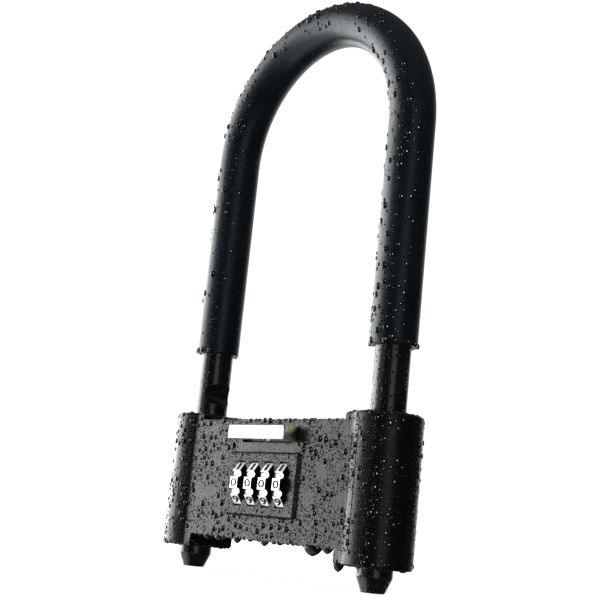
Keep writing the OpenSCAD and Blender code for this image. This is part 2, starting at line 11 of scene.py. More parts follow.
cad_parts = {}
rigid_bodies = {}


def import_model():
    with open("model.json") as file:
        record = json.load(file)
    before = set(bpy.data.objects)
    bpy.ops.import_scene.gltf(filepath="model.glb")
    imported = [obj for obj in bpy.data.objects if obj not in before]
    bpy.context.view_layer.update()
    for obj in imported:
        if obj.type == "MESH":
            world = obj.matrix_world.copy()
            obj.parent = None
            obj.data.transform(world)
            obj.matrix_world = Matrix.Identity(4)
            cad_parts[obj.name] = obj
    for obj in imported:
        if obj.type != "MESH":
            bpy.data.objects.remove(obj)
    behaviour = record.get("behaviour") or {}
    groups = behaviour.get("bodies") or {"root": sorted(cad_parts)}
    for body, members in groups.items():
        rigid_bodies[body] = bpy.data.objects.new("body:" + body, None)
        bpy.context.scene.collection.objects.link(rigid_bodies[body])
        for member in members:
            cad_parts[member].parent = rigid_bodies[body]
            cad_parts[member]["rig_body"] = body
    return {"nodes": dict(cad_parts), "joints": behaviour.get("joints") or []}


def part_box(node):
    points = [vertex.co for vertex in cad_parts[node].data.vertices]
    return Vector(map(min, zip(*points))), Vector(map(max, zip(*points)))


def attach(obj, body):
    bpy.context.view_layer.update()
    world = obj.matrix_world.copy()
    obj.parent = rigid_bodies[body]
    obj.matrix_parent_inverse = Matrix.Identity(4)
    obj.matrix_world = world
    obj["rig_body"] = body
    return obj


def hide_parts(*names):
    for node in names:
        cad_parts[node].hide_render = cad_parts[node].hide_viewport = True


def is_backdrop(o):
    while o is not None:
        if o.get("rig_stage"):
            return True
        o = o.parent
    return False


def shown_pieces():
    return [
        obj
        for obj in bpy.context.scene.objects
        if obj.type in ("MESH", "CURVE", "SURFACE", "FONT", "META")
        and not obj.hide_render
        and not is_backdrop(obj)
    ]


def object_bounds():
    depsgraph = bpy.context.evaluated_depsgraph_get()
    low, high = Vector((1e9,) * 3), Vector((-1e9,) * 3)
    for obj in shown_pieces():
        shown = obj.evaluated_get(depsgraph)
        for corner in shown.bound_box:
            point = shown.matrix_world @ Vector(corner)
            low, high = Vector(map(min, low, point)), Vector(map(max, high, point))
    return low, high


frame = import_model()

# Adjustable U lock, wet, standing on its two tips in a white studio.
# All lengths are in metres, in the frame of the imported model: +X right, +Y back, +Z up.
MM = 0.001
# Vertices closer than this are one vertex
WELD = 1e-6
CAD_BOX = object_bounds()
NODES = frame["nodes"]


# ---- Places read from the frame ----

def middle(node):
    """Centre of a node's box."""
    low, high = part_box(node)
    return (low + high) / 2


LEG_X = middle("right_leg_tube").x
LEG_Y = middle("right_leg_tube").y
COVER_LOW, COVER_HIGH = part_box("front_cover")
COVER_FACE_Y = min(v.co.y for v in NODES["front_cover"].data.vertices if abs(v.co.x) < 30 * MM)
HOUSING_LOW, HOUSING_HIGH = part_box("right_end_housing")
HOUSING_R = (HOUSING_HIGH.y - HOUSING_LOW.y) / 2
POST_X = HOUSING_HIGH.x - HOUSING_R
BEZEL_LOW, BEZEL_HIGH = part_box("dial_bezel")
BAR_LOW, BAR_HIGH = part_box("slide_bar")
SLEEVE_LOW, SLEEVE_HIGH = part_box("shackle_sleeve")
SLEEVE_R = (SLEEVE_HIGH.y - SLEEVE_LOW.y) / 2
DIALS = ["dial_1", "dial_2", "dial_3", "dial_4"]
DIAL_R = (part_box("dial_1")[1].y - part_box("dial_1")[0].y) / 2
BAR_TRAVEL = next(j for j in frame["joints"] if j["name"] == "bar_slide")["range_m"][1]


def body_of(node):
    return NODES[node]["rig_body"]


# ---- Material building blocks ----

def new_material(name):
    """An empty node material and its Principled shader."""
    material = bpy.data.materials.new(name)
    material.use_nodes = True
    return material, material.node_tree.nodes["Principled BSDF"]


def add_node(material, kind, **settings):
    node = material.node_tree.nodes.new(kind)
    for key, value in settings.items():
        if key in node.inputs:
            node.inputs[key].default_value = value
        else:
            setattr(node, key, value)
    return node


def link(material, output, target):
    material.node_tree.links.new(output, target)


def place(material):
    """The coordinates that stay with the piece, in metres."""
    return add_node(material, "ShaderNodeTexCoord").outputs["Object"]


def noise(material, scale, detail=3, roughness=0.5, vector=None):
    """Noise whose features are about 1 / scale metres across."""
    node = add_node(material, "ShaderNodeTexNoise", Scale=scale, Detail=detail, Roughness=roughness)
    link(material, vector or place(material), node.inputs["Vector"])
    return node.outputs["Fac"]


def spread(material, value, from_low, from_high, to_low, to_high):
    """Maps a value from one range to another, clamped."""
    node = add_node(material, "ShaderNodeMapRange")
    keys = ("From Min", "From Max", "To Min", "To Max")
    for key, number in zip(keys, (from_low, from_high, to_low, to_high)):
        node.inputs[key].default_value = number
    link(material, value, node.inputs["Value"])
    return node.outputs["Result"]


def arithmetic(material, operation, *values):
    node = add_node(material, "ShaderNodeMath", operation=operation)
    for slot, value in zip(node.inputs, values):
        if isinstance(value, (int, float)):
            slot.default_value = value
        else:
            link(material, value, slot)
    return node.outputs[0]


def two_tone(material, value, low_colour, high_colour):
    """A colour between two, by a value from 0 to 1."""
    node = add_node(material, "ShaderNodeMix", data_type="RGBA")
    colours = [socket for socket in node.inputs if socket.type == "RGBA"]
    colours[0].default_value = (*low_colour, 1)
    colours[1].default_value = (*high_colour, 1)
    link(material, value, node.inputs["Factor"])
    return next(socket for socket in node.outputs if socket.type == "RGBA")


def bump(material, height, distance, strength=1.0, below=None):
    """A normal from a height of 0 to 1 that stands for the given distance in metres."""
    node = add_node(material, "ShaderNodeBump", Strength=strength, Distance=distance)
    link(material, height, node.inputs["Height"])
    if below is not None:
        link(material, below, node.inputs["Normal"])
    return node.outputs["Normal"]


def mist(material, cell, largest, below):
    """Tiny domes of water, at most one to a cell: where they are, and the normal with them on top."""
    cells = add_node(material, "ShaderNodeTexVoronoi", Scale=1 / cell)
    link(material, place(material), cells.inputs["Vector"])
    pick = add_node(material, "ShaderNodeSeparateColor")
    link(material, cells.outputs["Color"], pick.inputs["Color"])
    radius = spread(material, pick.outputs["Red"], 0, 1, 0.1, largest)
    distance = cells.outputs["Distance"]
    inside = spread(material, arithmetic(material, "SUBTRACT", radius, distance), 0, 0.04, 0, 1)
    squares = [arithmetic(material, "MULTIPLY", value, value) for value in (radius, distance)]
    dome = arithmetic(material, "SQRT", arithmetic(material, "MAXIMUM", arithmetic(
        material, "SUBTRACT", *squares), 0.0))
    return inside, bump(material, dome, 0.8 * cell, 1.0, below)


def wet(material, shader, colour, roughness, normal, shine, cell, largest):
    """Joins a dry surface to the shader, with mist over it."""
    inside, wet_normal = mist(material, cell, largest, normal)
    mix = add_node(material, "ShaderNodeMix", data_type="RGBA")
    colours = [socket for socket in mix.inputs if socket.type == "RGBA"]
    link(material, inside, mix.inputs["Factor"])
    link(material, colour, colours[0])
    colours[1].default_value = (0.0015, 0.0015, 0.0018, 1)
    link(material, next(s for s in mix.outputs if s.type == "RGBA"), shader.inputs["Base Color"])
    smooth = add_node(material, "ShaderNodeMix")
    link(material, inside, smooth.inputs["Factor"])
    link(material, roughness, smooth.inputs["A"])
    smooth.inputs["B"].default_value = 0.06
    link(material, smooth.outputs["Result"], shader.inputs["Roughness"])
    link(material, spread(material, inside, 0, 1, shine, 0.12), shader.inputs["Specular IOR Level"])
    link(material, wet_normal, shader.inputs["Normal"])


# ---- Materials ----

def moulded_plastic():
    """Black moulded plastic with a fine spark-eroded grain, under a fine mist."""
    material, shader = new_material("moulded_plastic")
    grain = noise(material, 2600, detail=2, roughness=0.6)
    patches = noise(material, 90, detail=4)
    colour = two_tone(material, patches, (0.0012, 0.0013, 0.0014), (0.0028, 0.003, 0.0032))
    rough = arithmetic(material, "ADD", spread(material, patches, 0.35, 0.65, 0.24, 0.30),
                       spread(material, grain, 0.3, 0.7, -0.03, 0.03))
    wet(material, shader, colour, rough, bump(material, grain, 0.006 * MM), 0.36, 0.7 * MM, 0.42)
    return material


def soft_sleeve():
    """Satin blue-black vinyl with the faint lengthwise unevenness of a drawn tube, under mist."""
    material, shader = new_material("soft_sleeve")
    wander = noise(material, 60, detail=3)
    skin = noise(material, 1500, detail=2)
    colour = two_tone(material, wander, (0.0014, 0.0024, 0.0036), (0.003, 0.0048, 0.0066))
    shader.inputs["Specular Tint"].default_value = (0.86, 0.95, 1, 1)
    rough = spread(material, wander, 0.3, 0.7, 0.33, 0.4)
    normal = bump(material, skin, 0.006 * MM, 0.6, bump(material, wander, 0.12 * MM, 0.25))
    wet(material, shader, colour, rough, normal, 0.5, 1.1 * MM, 0.3)
    return material


def coated_steel(name, misted):
    """Black coated bar stock: satin, with fine drawing lines and worn patches."""
    material, shader = new_material(name)
    coords = add_node(material, "ShaderNodeMapping", Scale=(1, 1, 0.04))
    link(material, place(material), coords.inputs["Vector"])
    lines = noise(material, 2200, detail=2, vector=coords.outputs["Vector"])
    wear = noise(material, 220, detail=5, roughness=0.65)
    colour = two_tone(material, wear, (0.0015, 0.0016, 0.0018), (0.006, 0.006, 0.0065))
    rough = arithmetic(material, "ADD", spread(material, wear, 0.35, 0.7, 0.17, 0.25),
                       spread(material, lines, 0.3, 0.7, -0.03, 0.04))
    normal = bump(material, lines, 0.006 * MM, 0.5)
    if misted:
        wet(material, shader, colour, rough, normal, 0.8, 1.4 * MM, 0.42)
    else:
        link(material, colour, shader.inputs["Base Color"])
        link(material, rough, shader.inputs["Roughness"])
        link(material, normal, shader.inputs["Normal"])
    return material


def bright_metal(name, colour, roughness, streak_axis, tarnish=(0.45, 0.44, 0.42)):
    """Plated or ground metal with fine streaks along one axis and faint tarnish."""
    material, shader = new_material(name)
    stretch = tuple(0.05 if axis == streak_axis else 1 for axis in "XYZ")
    coords = add_node(material, "ShaderNodeMapping", Scale=stretch)
    link(material, place(material), coords.inputs["Vector"])
    streaks = noise(material, 3000, detail=3, vector=coords.outputs["Vector"])
    stains_and_painted_reflection = noise(material, 400, detail=5, roughness=0.7)
    amount = spread(material, stains_and_painted_reflection, 0.55, 0.8, 0, 0.6)
    link(material, two_tone(material, amount, colour, tarnish), shader.inputs["Base Color"])
    shader.inputs["Metallic"].default_value = 1
    fine = spread(material, streaks, 0.3, 0.7, roughness - 0.03, roughness + 0.05)
    link(material, arithmetic(material, "ADD", fine, spread(material, stains_and_painted_reflection, 0.5, 0.8, 0, 0.15)),
         shader.inputs["Roughness"])
    link(material, bump(material, streaks, 0.004 * MM, 0.5), shader.inputs["Normal"])
    return material


def cast_end():
    """End faces of the plated bar: a rough surface with many small bright facets from a bump, and a mottled
    brown colour that is painted reflection, standing for the dim sheen the plated end shows.
    """
    material, shader = new_material("cast_end")
    pits = noise(material, 3200, detail=3, roughness=0.7)
    stains_and_painted_reflection = noise(material, 900, detail=3)
    # The brown colour and its mottling are painted reflection: they lift the end faces to the dim sheen of
    # the plated end.
    colour = two_tone(material, stains_and_painted_reflection, (0.2, 0.165, 0.1), (0.52, 0.46, 0.34))
    link(material, colour, shader.inputs["Base Color"])
    shader.inputs["Metallic"].default_value = 0.3
    link(material, spread(material, stains_and_painted_reflection, 0.3, 0.7, 0.25, 0.45), shader.inputs["Roughness"])
    link(material, bump(material, pits, 0.3 * MM), shader.inputs["Normal"])
    return material


def seal_rubber():
    material, shader = new_material("seal_rubber")
    dust = noise(material, 900, detail=4)
    colour = two_tone(material, dust, (0.006, 0.006, 0.006), (0.02, 0.02, 0.02))
    link(material, colour, shader.inputs["Base Color"])
    link(material, spread(material, dust, 0.3, 0.7, 0.45, 0.6), shader.inputs["Roughness"])
    link(material, bump(material, dust, 0.02 * MM, 0.5), shader.inputs["Normal"])
    return material


def digit_paint():
    """Matt black paint of the digits, slightly uneven."""
    material, shader = new_material("digit_paint")
    mottle = noise(material, 2500, detail=2)
    colour = two_tone(material, mottle, (0.002, 0.002, 0.002), (0.008, 0.008, 0.009))
    link(material, colour, shader.inputs["Base Color"])
    link(material, spread(material, mottle, 0.3, 0.7, 0.6, 0.8), shader.inputs["Roughness"])
    shader.inputs["Specular IOR Level"].default_value = 0.1
    return material


def clear_water():
    """Clear water for drops that hang free; a faint ripple bends what is seen through them."""
    material, shader = new_material("clear_water")
    tint = noise(material, 300, detail=1)
    colour = two_tone(material, tint, (0.94, 0.96, 0.98), (0.99, 0.995, 1.0))
    link(material, colour, shader.inputs["Base Color"])
    shader.inputs["Transmission Weight"].default_value = 1
    shader.inputs["IOR"].default_value = 1.333
    shader.inputs["Roughness"].default_value = 0.01
    link(material, bump(material, tint, 0.3 * MM, 0.2), shader.inputs["Normal"])
    return material


def water_on_black():
    """Water beads as they look on black: the black shows through, and only the surface shines."""
    material, shader = new_material("water_on_black")
    tint = noise(material, 500, detail=1)
    colour = two_tone(material, tint, (0.001, 0.001, 0.0012), (0.003, 0.003, 0.0034))
    link(material, colour, shader.inputs["Base Color"])
    link(material, spread(material, tint, 0.3, 0.7, 0.02, 0.05), shader.inputs["Roughness"])
    shader.inputs["IOR"].default_value = 1.333
    return material


PLASTIC = moulded_plastic()
SLEEVE = soft_sleeve()
COATED = coated_steel("coated_steel", False)
WET_STEEL = coated_steel("wet_coated_steel", True)
CHROME = bright_metal("chrome_plate", (0.88, 0.88, 0.9), 0.14, "X")
SATIN = bright_metal("satin_plate", (0.93, 0.93, 0.94), 0.34, "X")
BAR_END_REFLECTION_PAINT = cast_end()
GROUND = bright_metal("ground_steel", (0.6, 0.6, 0.62), 0.3, "X")
SPRING = bright_metal("spring_steel", (0.35, 0.36, 0.4), 0.25, "Z")
BRASS = bright_metal("turned_brass", (0.75, 0.58, 0.28), 0.25, "X", (0.4, 0.28, 0.12))
RUBBER = seal_rubber()
PAINT = digit_paint()
CLEAR_WATER = clear_water()
BEAD_WATER = water_on_black()

NODE_MATERIALS = {
    "shackle": WET_STEEL, "shackle_sleeve": SLEEVE, "lock_case": COATED, "cam_plate": COATED,
    "left_end_housing": PLASTIC, "right_end_housing": PLASTIC,
    "left_base_ring": PLASTIC, "right_base_ring": PLASTIC, "left_wiper": RUBBER, "right_wiper": RUBBER,
    "front_cover": PLASTIC, "rear_cover": PLASTIC, "dial_bezel": PLASTIC, "dial_carrier": PLASTIC,
    "slide_bar": CHROME, "detent_spring": SPRING,
}
for name in DIALS:
    NODE_MATERIALS[name] = SATIN
    NODE_MATERIALS[name.replace("dial", "code_ring")] = BRASS

for name, node in NODES.items():
    for material_slot in node.material_slots:
        material_slot.link = "OBJECT"
        material_slot.material = NODE_MATERIALS.get(name, GROUND)


# ---- Softened edges ----

def softened(node, radius, segments=2, sharp=math.radians(32), where=None):
    """A copy of a CAD node with its edges, or those in one place, rounded. It replaces the node."""
    mesh = NODES[node].data.copy()
    mesh.attributes.remove(mesh.attributes["custom_normal"])
    shape = bmesh.new()
    shape.from_mesh(mesh)
    bmesh.ops.remove_doubles(shape, verts=shape.verts, dist=WELD)
    bmesh.ops.dissolve_limit(shape, angle_limit=math.radians(0.2), verts=shape.verts, edges=shape.edges)
    edges = [e for e in shape.edges if len(e.link_faces) == 2 and e.calc_face_angle() > sharp]
    if where is not None:
        edges = [e for e in edges if all(where(v.co) for v in e.verts)]
    bmesh.ops.bevel(shape, geom=edges, offset=radius, segments=segments, profile=0.5, affect="EDGES",
                    clamp_overlap=True)
    for face in shape.faces:
        face.smooth = True
    shape.to_mesh(mesh)
    shape.free()
    piece = bpy.data.objects.new(node + "_finished", mesh)
    bpy.context.scene.collection.objects.link(piece)
    mesh.materials.clear()
    mesh.materials.append(NODE_MATERIALS[node])
    weighted = piece.modifiers.new("even_shading", "WEIGHTED_NORMAL")
    weighted.keep_sharp = True
    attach(piece, body_of(node))
    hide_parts(node)
    return piece


def face_sideways(piece, material):
    """Gives the faces that look along X a second material."""
    piece.data.materials.append(material)
    for polygon in piece.data.polygons:
        polygon.material_index = int(abs(polygon.normal.x) > 0.95)


def on_bar_front(point):
    return point.y < BAR_LOW.y + WELD


# Rounding radius of each softened node, in millimetres
SOFTENING = {"front_cover": 0.3, "rear_cover": 0.3, "left_end_housing": 0.25, "right_end_housing": 0.25,
             "dial_bezel": 0.2, "lock_case": 0.2, "shackle_sleeve": 0.5}
FINISHED = {name: softened(name, radius * MM) for name, radius in SOFTENING.items()}
FINISHED["slide_bar"] = softened("slide_bar", 0.75 * MM, 3, where=on_bar_front)
# The bar's end faces get the brown colour that is painted reflection.
face_sideways(FINISHED["slide_bar"], BAR_END_REFLECTION_PAINT)
for name in DIALS:
    FINISHED[name] = softened(name, 0.15 * MM, sharp=math.radians(25))
    face_sideways(FINISHED[name], PLASTIC)


# ---- Digits ----

DIGIT_HEIGHT = 3.2 * MM
DIGIT_WIDTH = 3.8 * MM
DIGIT_ONE_SHARE = 0.35
DIGIT_DEPTH = 0.1 * MM
DIGIT_PROUD = 0.07 * MM
DIGIT_STEP = math.radians(36)


def digit_mesh(digit):
    """One digit as a thin slab with its back at the origin's plane, facing -Y, with its proportions set."""
    text = bpy.data.curves.new("digit", "FONT")
    text.body = str(digit)
    text.extrude = 0.5
    text.resolution_u = 3
    text.offset = 0.02
    source = bpy.data.objects.new("digit", text)
    mesh = bpy.data.meshes.new_from_object(source)
    points = np.array([v.co for v in mesh.vertices])
    low, high = points.min(0), points.max(0)
    points -= (low + high) / 2
    width = DIGIT_WIDTH * (DIGIT_ONE_SHARE if digit == 1 else 1)
    points *= [width / (high - low)[0], DIGIT_HEIGHT / (high - low)[1], DIGIT_DEPTH / (high - low)[2]]
    faces = [list(p.vertices) for p in mesh.polygons]
    bpy.data.objects.remove(source)
    bpy.data.meshes.remove(mesh)
    return points @ np.array([[1, 0, 0], [0, 0, 1], [0, -1, 0]]), faces


def new_piece(name, points, faces, material, body):
    """A mesh piece that rides on a body."""
    mesh = bpy.data.meshes.new(name)
    mesh.from_pydata(points, [], faces)
    mesh.materials.append(material)
    piece = bpy.data.objects.new(name, mesh)
    bpy.context.scene.collection.objects.link(piece)
    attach(piece, body)
    return piece


def add_digits():
    """Ten digits round each dial. 0 faces straight out, and the digits go up as they go up the dial."""
    glyphs = [digit_mesh(d) for d in range(10)]
    offset = Vector((0, -DIAL_R - DIGIT_PROUD + DIGIT_DEPTH / 2, 0))
    for dial in DIALS:
        centre = middle(dial)
        points, faces = [], []
        for digit, (outline, polygons) in enumerate(glyphs):
            turn = Matrix.Rotation(-DIGIT_STEP * digit, 3, "X")
            base = len(points)
            points += [centre + turn @ (Vector(p) + offset) for p in outline]
            faces += [[base + i for i in face] for face in polygons]
        new_piece(dial + "_digits", points, faces, PAINT, body_of(dial))


add_digits()


# ---- Water beads ----

SEED = 405
# How far a bead's foot goes below the surface, as a share of its radius
SUNK = 0.25
# A face is in the open if nothing stands this close in front of it
CLEAR_REACH = 30 * MM
# The beads stand in groups about this wide, where a noise of -1 to 1 is above a threshold
CLUMP = 9 * MM
THIN_BELOW = -0.32
# Beads larger than this have finer facets
ROUND_ABOVE = 0.7 * MM
SPRAY_FROM = np.array([-0.9, -0.45, 0.1])


def whole_model():
    """Search tree over every visible piece at rest."""
    points, faces = [], []
    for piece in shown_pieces():
        base = len(points)
        points += [v.co.copy() for v in piece.data.vertices]
        faces += [[base + i for i in p.vertices] for p in piece.data.polygons]
    return BVHTree.FromPolygons(points, faces)


MODEL = whole_model()


def surface_samples(mesh, per_area, rng):
    """Random points spread evenly over a mesh, with the normals there."""
    mesh.calc_loop_triangles()
    triangles = np.empty(len(mesh.loop_triangles) * 3, int)
    mesh.loop_triangles.foreach_get("vertices", triangles)
    points = np.empty(len(mesh.vertices) * 3)
    mesh.vertices.foreach_get("co", points)
    corners = points.reshape(-1, 3)[triangles.reshape(-1, 3)]
    side_a = corners[:, 1] - corners[:, 0]
    side_b = corners[:, 2] - corners[:, 0]
    across = np.cross(side_a, side_b)
    double_area = np.linalg.norm(across, axis=1)
    count = int(double_area.sum() / 2 * per_area)
    chosen = rng.choice(len(double_area), count, p=double_area / double_area.sum())
    a, b = rng.random((2, count, 1))
    over = a + b > 1
    a, b = np.where(over, 1 - a, a), np.where(over, 1 - b, b)
    spots = corners[chosen, 0] + a * side_a[chosen] + b * side_b[chosen]
    return spots, across[chosen] / double_area[chosen, None]


def in_the_open(spots, normals):
    """Which points have nothing close in front of them."""
    hits = [MODEL.ray_cast(Vector(p) + Vector(n) * 0.05 * MM, Vector(n), CLEAR_REACH)
            for p, n in zip(spots, normals)]
    return np.array([hit[0] is None for hit in hits], bool)


def in_clumps(spots):
    """Leaves bare patches, so that the beads stand in irregular groups."""
    return np.array([wander_at(Vector(p) / CLUMP) > THIN_BELOW for p in spots], bool)


def apart(spots, radii, gap):
    """Which beads to keep so that none touch; the earlier ones have the first choice."""
    cell = 2 * radii.max() + gap
    homes = np.floor(spots / cell).astype(int)
    near = [(i, j, k) for i in (-1, 0, 1) for j in (-1, 0, 1) for k in (-1, 0, 1)]
    taken, kept = {}, []
    for index, home in enumerate(homes):
        around = [j for step in near for j in taken.get(tuple(home + step), ())]
        room = radii[around] + radii[index] + gap
        if (np.linalg.norm(spots[around] - spots[index], axis=1) > room).all():
            taken.setdefault(tuple(home), []).append(index)
            kept.append(index)
    return kept


def bead_shape(segments, rings):
    """A closed dome of unit radius and height, with its foot a little below the surface."""
    turn = np.arange(segments) * 2 * math.pi / segments
    points = []
    for ring in range(rings):
        rise = math.pi / 2 * ring / rings
        height = math.sin(rise) if ring else -SUNK
        points += [(math.cos(rise) * math.cos(t), math.cos(rise) * math.sin(t), height) for t in turn]
    points.append((0, 0, 1))
    faces = [list(range(segments))[::-1]]
    for ring in range(rings - 1):
        base = ring * segments
        for i in range(segments):
            j = (i + 1) % segments
            faces.append([base + i, base + j, base + segments + j, base + segments + i])
    last = (rings - 1) * segments
    faces += [[last + i, last + (i + 1) % segments, rings * segments] for i in range(segments)]
    return np.array(points), faces


def add_beads(name, body, spots, normals, radii, material, rng, segments=10, rings=3, flatness=0.7):
    """One piece with a bead at each spot, or none where no bead fits. Beads on steep faces stretch and sag
    downwards."""
    lean = rng.normal(0, 0.15, spots.shape) + [0, 0, -1]
    down = lean - normals * (lean * normals).sum(1, keepdims=True)
    steep = np.linalg.norm(down, axis=1, keepdims=True)
    down /= steep
    side = np.cross(down, normals)
    heavy = np.clip(radii / (1.2 * MM), 0, 1)[:, None] * np.clip(steep, 0, 1)
    shape, polygons = bead_shape(segments, rings)
    x, y, z = (shape[None, :, axis, None] for axis in range(3))
    size = radii[:, None, None]
    wide = rng.uniform(0.85, 1.1, (len(radii), 1, 1))
    tall = (1 + heavy * rng.uniform(0, 0.25, (len(radii), 1)))[:, :, None]
    high = rng.uniform(0.85, 1.1, (len(radii), 1, 1)) * flatness
    sag = 0.2 * heavy[:, :, None] * np.clip(z, 0, 1)
    points = spots[:, None] + size * (side[:, None] * x * wide + down[:, None] * (y * tall + sag)
                                      + normals[:, None] * z * high)
    low, top = np.array(CAD_BOX[0]), np.array(CAD_BOX[1])
    inside = ((points >= low) & (points <= top)).all((1, 2))
    if not inside.any():
        return
    points = points[inside].reshape(-1, 3)
    faces = [[base + i for i in face] for base in range(0, len(points), len(shape)) for face in polygons]
    piece = new_piece(name, points, faces, material, body)
    smooth = np.ones(len(faces), bool)
    smooth[::len(polygons)] = False
    piece.data.polygons.foreach_set("use_smooth", smooth)


def scatter(node, fine, coarse, where=None, gap=0.12 * MM, **shape):
    """Fine and coarse beads over the open faces of a node. Each kind has a number to the square millimetre,
    a smallest and a largest radius in millimetres, and a rarity: the higher, the rarer its large ones."""
    rng = np.random.default_rng(SEED + len(node))
    spots, normals, radii = [], [], []
    for per_area, small, large, rarity in (fine, coarse):
        at, facing = surface_samples(FINISHED[node].data, per_area / MM ** 2, rng)
        spots.append(at)
        normals.append(facing)
        radii.append((small + (large - small) * rng.random(len(at)) ** rarity) * MM)
    spots, normals, radii = np.concatenate(spots), np.concatenate(normals), np.concatenate(radii)
    order = np.argsort(-radii)
    spots, normals, radii = spots[order], normals[order], radii[order]
    if where is not None:
        wanted = where(spots, normals, radii)
        spots, normals, radii = spots[wanted], normals[wanted], radii[wanted]
    wanted = in_clumps(spots) & in_the_open(spots, normals)
    spots, normals, radii = spots[wanted], normals[wanted], radii[wanted]
    wanted = apart(spots, radii, gap)
    spots, normals, radii = spots[wanted], normals[wanted], radii[wanted]
    big = radii > ROUND_ABOVE
    for suffix, part, detail in (("_drops", big, {"segments": 16, "rings": 5}),
                                 ("_beads", ~big, {"segments": 9})):
        add_beads(node + suffix, body_of(node), spots[part], normals[part], radii[part], BEAD_WATER, rng,
                  **detail, **shape)


def off_the_bar(spots, normals, radii):
    """Leaves room for the bar to slide over the cover."""
    margin = 1.2 * MM
    beside = np.abs(spots[:, 0]) > BAR_HIGH.x + margin
    above = spots[:, 2] > BAR_HIGH.z + margin
    below = spots[:, 2] < BAR_LOW.z - BAR_TRAVEL - margin
    return beside | above | below


def on_the_wet_side(spots, normals, radii):
    """Keeps the sleeve's beads above its two lower ends, and on the side the spray came from. On the
    straight legs the spray reached further round, and the left one is drier."""
    end = np.where(spots[:, 0] < 0, SLEEVE_LEFT_END, SLEEVE_LOW.z)
    straight = spots[:, 2] < SLEEVE_HIGH.z - LEG_X
    wetted = (normals @ SPRAY_FROM > np.where(straight, -0.7, -0.25)) & (normals[:, 2] > -0.4)
    dry = straight & (spots[:, 0] < 0) & (np.arange(len(spots)) % 5 > 1)
    return (spots[:, 2] > end + radii) & wetted & ~dry


def on_the_roof(spots, normals, radii):
    return (normals[:, 2] > 0.9) & (spots[:, 2] > CASE_TOP - 0.5 * MM)


CASE_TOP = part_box("lock_case")[1].z
SLEEVE_LEFT_END = min(v.co.z for v in FINISHED["shackle_sleeve"].data.vertices if v.co.x < 0)
BEZEL_FRONT_Y = BEZEL_LOW.y

scatter("front_cover", (1.2, 0.16, 0.34, 1.2), (0.42, 0.4, 1.25, 7.0), off_the_bar)
scatter("dial_bezel", (1.8, 0.17, 0.36, 1.0), (0.3, 0.3, 0.7, 3.0))
scatter("left_end_housing", (0.3, 0.14, 0.34, 1.5), (0.32, 0.36, 1.1, 3.0), flatness=0.55)
scatter("right_end_housing", (0.3, 0.14, 0.34, 1.5), (0.13, 0.42, 1.15, 2.2), flatness=0.5)
scatter("rear_cover", (0.9, 0.14, 0.34, 1.5), (0.2, 0.36, 1.2, 4.0))
scatter("lock_case", (0.3, 0.14, 0.34, 1.5), (0.06, 0.36, 1.2, 2.5), on_the_roof)
scatter("shackle_sleeve", (0.06, 0.2, 0.6, 1.5), (0.07, 0.6, 1.4, 2.2), on_the_wet_side, flatness=0.55)


# ---- Beads along edges, and drops that hang ----

def edge_beads(name, node, spots, outward, small, large, material, **shape):
    """Beads of random sizes at given spots, all facing the given ways."""
    rng = np.random.default_rng(SEED + len(name))
    radii = rng.uniform(small, large, len(spots)) * MM
    normals = np.array(outward, float) * np.ones((len(spots), 1))
    normals /= np.linalg.norm(normals, axis=1, keepdims=True)
    wanted = apart(np.array(spots), radii, 0.1 * MM)
    add_beads(name, body_of(node), np.array(spots)[wanted], normals[wanted], radii[wanted], material, rng,
              **shape)


def along_line(start, end, count, seed):
    """Random spots on a line, in metres."""
    steps = np.random.default_rng(seed).random((count, 1))
    return np.array(start) + steps * (np.array(end) - np.array(start))


def round_ring(x, y, z, radius, count, seed, tilt):
    """Random spots round a level ring, and the directions there, tilted up or down by a slope."""
    turns = np.random.default_rng(seed).uniform(0, 2 * math.pi, count)
    ways = np.stack([np.cos(turns), np.sin(turns), np.full(count, tilt)], axis=1)
    return np.array([x, y, z]) + radius * ways * [1, 1, 0], ways


def add_edge_beads():
    inset = 0.25 * MM
    left, right = COVER_LOW.x + 14 * MM, COVER_HIGH.x - 14 * MM
    front = COVER_FACE_Y + inset
    for name, z, tilt in (("cover_top_drops", COVER_HIGH.z - inset, 1),
                          ("cover_foot_drops", COVER_LOW.z + inset, -1)):
        spots = along_line((left, front, z), (right, front, z), 70, len(name))
        edge_beads(name, "front_cover", spots, (0, -1, tilt), 0.25, 0.85, BEAD_WATER)
    for side, node in ((-1, "left_end_housing"), (1, "right_end_housing")):
        for level, z, tilt in (("top", HOUSING_HIGH.z - 0.9 * MM, 0.9),
                               ("foot", HOUSING_LOW.z + 0.7 * MM, -0.7)):
            name = node + "_" + level + "_drops"
            spots, ways = round_ring(side * POST_X, LEG_Y, z, HOUSING_R - 0.6 * MM, 90, len(name) + side,
                                     tilt)
            outer = spots[:, 0] * side > COVER_HIGH.x + 0.5 * MM
            edge_beads(name, node, spots[outer], ways[outer], 0.3, 0.8, BEAD_WATER, flatness=0.6)
        end = SLEEVE_LOW.z if side > 0 else SLEEVE_LEFT_END
        name = ("left" if side < 0 else "right") + "_rim_drops"
        spots, ways = round_ring(side * LEG_X, LEG_Y, end + 1.1 * MM, SLEEVE_R - 0.1 * MM, 18, len(name), 0)
        edge_beads(name, "shackle_sleeve", spots, ways, 0.75, 1.3, BEAD_WATER, rings=5, segments=16,
                   flatness=0.8)
    edges = along_line((BEZEL_LOW.x + MM, BEZEL_FRONT_Y, BEZEL_HIGH.z - MM),
                       (BEZEL_HIGH.x - MM, BEZEL_FRONT_Y, BEZEL_HIGH.z - MM), 34, 3)
    edge_beads("bezel_top_drops", "dial_bezel", edges, (0, -1, 0.8), 0.2, 0.45, BEAD_WATER, flatness=0.6)


